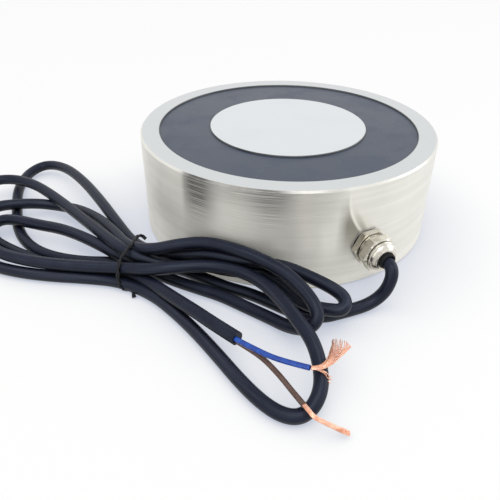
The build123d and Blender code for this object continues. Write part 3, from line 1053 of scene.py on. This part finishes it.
# the gland nut's outside: distance from the pot's axis, largest radius, and whether the
# hexagon cuts it
NUT_OUTSIDE = [
    (0.07910, 0.00700, False), (0.07918, 0.00712, False), (0.08000, 0.00712, False),
    (0.08008, 0.00694, False), (0.08024, 0.00694, False), (0.08032, 0.00712, False),
    (0.08060, 0.00712, False), (0.08062, 0.00744, False), (0.08120, 0.00862, True),
    (0.08490, 0.00862, True), (0.08548, 0.00742, True), (0.08552, 0.00690, False),
    (0.08560, 0.00672, False), (0.08588, 0.00672, False), (0.08596, 0.00706, False),
    (0.08606, 0.00720, False), (0.08664, 0.00720, False), (0.08676, 0.00708, False),
    (0.08682, 0.00684, False), (0.08706, 0.00680, False), (0.08740, 0.00668, False),
    (0.08776, 0.00646, False), (0.08812, 0.00614, False), (0.08848, 0.00574, False),
    (0.08880, 0.00534, False), (0.08884, 0.00516, False), (0.08914, 0.00510, False),
    (0.08926, 0.00498, False), (0.08930, 0.00480, False),
]
# its inside, over the spigot, the claw and the seal
NUT_INSIDE = [
    (0.08930, 0.00395), (0.08916, 0.00378), (0.08810, 0.00375), (0.08730, 0.00415),
    (0.08350, 0.00460), (0.08350, 0.00605), (0.07910, 0.00605),
]
HEXAGON_FLAT_RADIUS = 0.0075
ROUND_STEPS = 96
SHARP_ANGLE = math.radians(20.0)


def turned_nut(name):
    """The dome nut, turned from hexagon bar: collar, chamfered hexagon, ring and stepped dome."""
    corners, faces = [], []
    for distance, largest, cut in NUT_OUTSIDE + [(*place, False) for place in NUT_INSIDE]:
        for step in range(ROUND_STEPS):
            turn = 2 * math.pi * step / ROUND_STEPS
            from_flat = (turn + math.pi / 6) % (math.pi / 3) - math.pi / 6
            radius = min(largest, HEXAGON_FLAT_RADIUS / math.cos(from_flat)) if cut else largest
            height = GLAND_HEIGHT + radius * math.cos(turn)
            corners.append((radius * math.sin(turn), -distance, height))
    rings = len(corners) // ROUND_STEPS
    for ring in range(rings):
        near, far = ring * ROUND_STEPS, (ring + 1) % rings * ROUND_STEPS
        for step in range(ROUND_STEPS):
            after = (step + 1) % ROUND_STEPS
            faces.append((near + step, near + after, far + after, far + step))
    mesh = bpy.data.meshes.new(name)
    mesh.from_pydata(corners, [], faces)
    mesh.materials.append(POLISHED_NICKEL)
    mesh.shade_smooth()
    mesh.set_sharp_from_angle(angle=SHARP_ANGLE)
    return add_object(name, mesh)


nut = turned_nut("gland_dome_nut")

jacket = smooth_line("cord_jacket", JACKET_ROUTE, JACKET_DIAMETER / 2, steps=10, round_steps=6)
jacket.data.materials.append(JACKET)
core_blue = smooth_line("cord_core_blue", BLUE_ROUTE, CORE_DIAMETER / 2)
core_blue.data.materials.append(BLUE)
core_brown = smooth_line("cord_core_brown", BROWN_ROUTE, CORE_DIAMETER / 2)
core_brown.data.materials.append(BROWN)

# the scene's own pieces, with the nodes that each replaces and its slot
own_pieces = {
    jacket: (["cord_lead", "cord_hank", "cord_front_loop", "cord_free_end"], "jacket"),
    core_blue: (["core_blue"], "blue_insulation"),
    core_brown: (["core_brown"], "brown_insulation"),
    strands_blue: (["strands_blue"], "copper"),
    loose_wires: (["strands_blue"], "copper"),
    strands_brown: (["strands_brown"], "copper"),
    tie: (["cord_tie"], "tie_plastic"),
    nut: (["gland_nut"], "nickel_brass"),
}
for piece, (replaced, slot) in own_pieces.items():
    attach(piece, "root")
    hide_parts(*replaced)

FLOOR_HALF = 3.0
WHITE = (1.0, 1.0, 1.0)
WARM = (1.0, 0.99, 0.96)
COOL = (0.92, 0.96, 1.0)
# name, place and target in metres, size in metres, power in watts, colour
LAMPS = [
    ("overhead softbox", (-0.25, -0.55, 0.95), (-0.02, -0.02, 0.02), 0.7, 5.0, WARM),
    ("right fill", (0.85, -0.3, 0.4), (0.0, 0.0, 0.02), 0.6, 2.0, COOL),
    ("left fill", (-0.8, -0.45, 0.35), (0.0, 0.0, 0.02), 0.6, 1.2, WARM),
]
# the photograph's camera: heading, tilt and roll in degrees, place in metres, lens in millimetres
CAMERA_HEADING, CAMERA_TILT, CAMERA_ROLL = -26.119, 56.434, 0.559
CAMERA_PLACE = (-0.13887, -0.24053, 0.15572)
CAMERA_LENS = 40.405
SENSOR_WIDTH = 36.0


def looked_at(tree, seen):
    """1 for a ray from the camera, a mirror or through glass, 0 for one that only brings light."""
    through = maths(tree, "MAXIMUM", seen["Is Glossy Ray"], seen["Is Transmission Ray"])
    return maths(tree, "MAXIMUM", seen["Is Camera Ray"], through)


def paper_floor():
    """White paper that looks evenly lit, with a soft bluish shade where something stands near."""
    made = bpy.data.materials.new("white paper floor")
    tree = emptied(made)
    seen = put(tree, "ShaderNodeLightPath").outputs
    not_camera = minus(tree, 1.0, seen["Is Camera Ray"])
    shade = scale_range(tree, openness(tree, 0.06, samples=12), 0.0, 1.0, 0.25, 0.93)
    shade = maths(tree, "MAXIMUM", shade, not_camera)
    tint = blend_colour(tree, shade, (0.52, 0.56, 0.66), WHITE)
    paper = take(tree, "ShaderNodeBsdfDiffuse", {"Color": (0.88, 0.88, 0.88, 1.0)})
    glow = take(tree, "ShaderNodeEmission", {"Color": tint, "Strength": 1.0})
    glowing = times(tree, looked_at(tree, seen), 0.9)
    both = take(tree, "ShaderNodeMixShader", {0: glowing, 1: paper, 2: glow})
    put(tree, "ShaderNodeOutputMaterial", {"Surface": both})
    return made


def studio():
    """Pale floor, soft lamps and an even surround."""
    half = FLOOR_HALF
    floor_mesh = bpy.data.meshes.new("floor")
    corners = [(-half, -half, 0), (half, -half, 0), (half, half, 0), (-half, half, 0)]
    floor_mesh.from_pydata(corners, [], [(0, 1, 2, 3)])
    floor_mesh.materials.append(paper_floor())
    floor = add_object("floor", floor_mesh)

    world = bpy.data.worlds.new("studio")
    tree = emptied(world)
    seen = put(tree, "ShaderNodeLightPath").outputs
    strength = scale_range(tree, looked_at(tree, seen), 0.6, 1.0)
    surround = take(tree, "ShaderNodeBackground", {"Color": (*WHITE, 1.0), "Strength": strength})
    put(tree, "ShaderNodeOutputWorld", {"Surface": surround})
    bpy.context.scene.world = world

    for name, place, target, size, power, colour in LAMPS:
        lamp = bpy.data.lights.new(name, "AREA")
        lamp.size = size
        lamp.energy = power
        lamp.color = colour
        holder = add_object(name, lamp)
        holder.location = place
        holder.rotation_euler = (Vector(target) - Vector(place)).to_track_quat("-Z", "Y").to_euler()


def photographers_camera():
    """The camera that was worked out from the photograph's ellipses."""
    camera = bpy.data.cameras.new("camera")
    camera.sensor_width = SENSOR_WIDTH
    camera.lens = CAMERA_LENS
    camera.clip_start = 0.01
    holder = add_object("camera", camera)
    matrix = Matrix.Translation(CAMERA_PLACE)
    for angle, axis in ((CAMERA_HEADING, "Z"), (CAMERA_TILT, "X"), (CAMERA_ROLL, "Z")):
        matrix = matrix @ Matrix.Rotation(math.radians(angle), 4, axis)
    holder.matrix_world = matrix
    bpy.context.scene.camera = holder


studio()
photographers_camera()
bpy.context.scene.view_settings.view_transform = "Standard"
